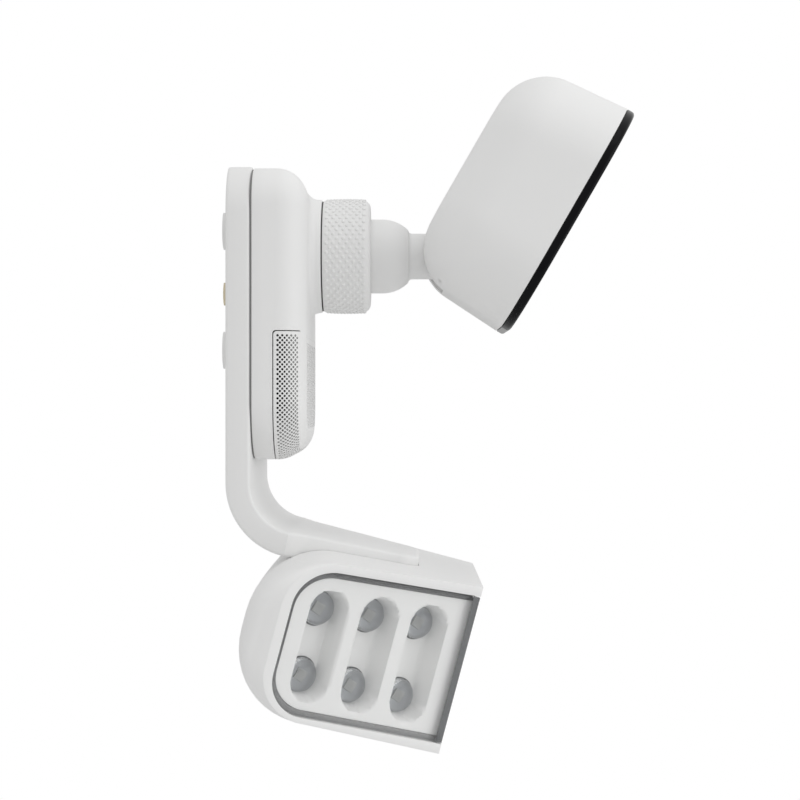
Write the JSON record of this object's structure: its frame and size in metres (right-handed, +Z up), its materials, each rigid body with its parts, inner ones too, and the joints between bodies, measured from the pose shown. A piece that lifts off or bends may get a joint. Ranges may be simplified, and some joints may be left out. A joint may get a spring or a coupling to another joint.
{
  "type": "wall-mounted security camera with lamp",
  "caption": "Outdoor security camera on a wall bracket: tilting camera head on a clamped swivel stem, speaker base and a wide three-sided lamp below.",
  "frame": {"origin": "middle of the four wall-screw holes, on the wall plane that the bracket's spacers touch", "axes": "+Z up along the wall, -Y out of the wall towards the camera's front, +Y into the wall, X sideways; the rest pose is symmetric about X = 0 in its outer shape"},
  "size_m": [0.1558, 0.1235, 0.2005],
  "materials": {
    "white_plastic": "fine matte white",
    "knurled_plastic": "matte white with raised dots",
    "white_metal": "matte white powder coat",
    "black_front": "high gloss black",
    "dark_plastic": "matte dark grey",
    "dark_rubber": "matte black",
    "beige_rubber": "matte beige",
    "cloth": "black acoustic cloth",
    "paper_cone": "matte black cone",
    "bright_steel": "plated steel",
    "aluminium": "satin",
    "board": "green solder mask",
    "white_board": "white solder mask",
    "lens_glass": "coated glass",
    "clear_cover": "clear polished",
    "led_lens": "clear polished",
    "light_pipe": "translucent blue"
  },
  "bodies": {
    "base": {"wall_bracket": "white_metal", "wall_spacers": "white_plastic", "wall_bumpers": "beige_rubber", "cable_grommet": "dark_rubber", "base_gasket": "dark_rubber", "base_housing": "white_plastic", "base_screws": "bright_steel", "speaker_grille": "white_plastic", "acoustic_cloth": "cloth", "speaker_frame": "dark_plastic", "speaker_cone": "paper_cone", "base_board": "board", "socket_sleeve": "aluminium", "sleeve_nut": "aluminium", "lamp_housing": "white_plastic", "lamp_cover": "clear_cover", "reflector_left": "white_plastic", "reflector_front": "white_plastic", "reflector_right": "white_plastic", "lenses_left": "led_lens", "lenses_front": "led_lens", "lenses_right": "led_lens", "led_board_left": "white_board", "led_board_front": "white_board", "led_board_right": "white_board", "lamp_heat_sink": "aluminium", "lamp_driver": "board", "lamp_screws": "bright_steel"},
    "collar": {"collar_ring": "knurled_plastic"},
    "stem": {"swivel_post": "white_plastic", "neck_arm": "white_plastic"},
    "head": {"head_shell": "white_plastic", "head_gasket": "dark_rubber", "front_plate": "black_front", "lens_ring": "dark_plastic", "lens_glass": "lens_glass", "lens_barrel": "dark_plastic", "sensor_board": "board", "infrared_board": "board", "infrared_leds": "dark_plastic", "status_light": "light_pipe", "main_board": "board", "heat_spreader": "aluminium", "tilt_yoke": "bright_steel", "tilt_pin": "bright_steel", "tilt_washers": "dark_rubber", "yoke_screws": "bright_steel", "reset_switch": "dark_plastic"},
    "reset": {"reset_plunger": "dark_plastic"}
  },
  "joints": [
    {"name": "collar_turn", "type": "hinge", "parent": "base", "child": "collar", "pos_m": [0, -0.036, 0.0122], "axis": [0, -1, 0], "range_deg": [0, 90]},
    {"name": "stem_swivel", "type": "hinge", "parent": "base", "child": "stem", "pos_m": [0, -0.047, 0.0122], "axis": [0, -1, 0], "range_deg": [-90, 90]},
    {"name": "head_tilt", "type": "hinge", "parent": "stem", "child": "head", "pos_m": [0, -0.0738, 0.0122], "axis": [1, 0, 0], "range_deg": [-30, 20]},
    {"name": "reset_press", "type": "slide", "parent": "head", "child": "reset", "axis": [0, -0.5, 0.866], "range_m": [0, 0.0006], "stiffness_N_per_m": 300, "springref_m": -0.0003}
  ]
}
